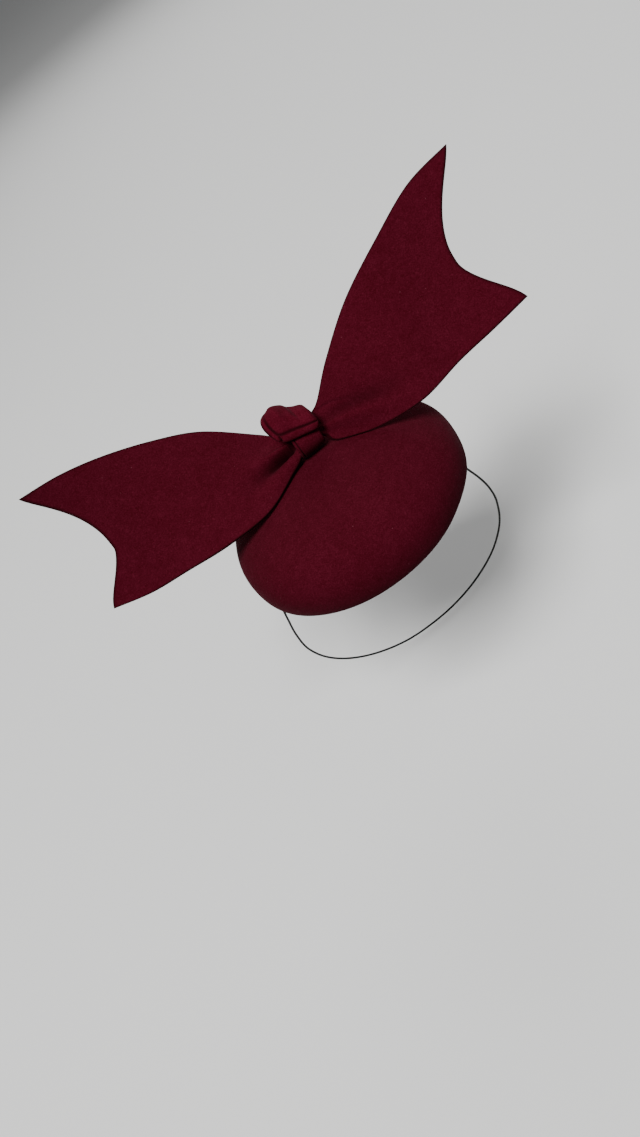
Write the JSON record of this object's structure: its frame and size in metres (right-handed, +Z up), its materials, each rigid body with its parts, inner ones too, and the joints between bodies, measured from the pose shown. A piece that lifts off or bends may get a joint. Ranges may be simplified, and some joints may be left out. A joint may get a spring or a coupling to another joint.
{
  "type": "fascinator",
  "caption": "Small round felt hat with a domed top and a large swallow-tailed felt bow, held on by a thin elastic round the back of the head.",
  "frame": {"origin": "centre of the base's round opening, in the plane of its turned-in edge, where the hat sits on the head", "axes": "+Z up through the crown, away from the head; +X across the bow to the wearer's left; +Y to the back of the hat"},
  "size_m": [0.2973, 0.151, 0.2867],
  "materials": {
    "felt": "wool felt, matt, fine short nap",
    "elastic": "woven black round elastic"
  },
  "bodies": {
    "root": {"base": "felt", "tail_left": "felt", "tail_right": "felt", "knot_band": "felt", "knot_wrap": "felt", "elastic": "elastic"}
  },
  "joints": []
}
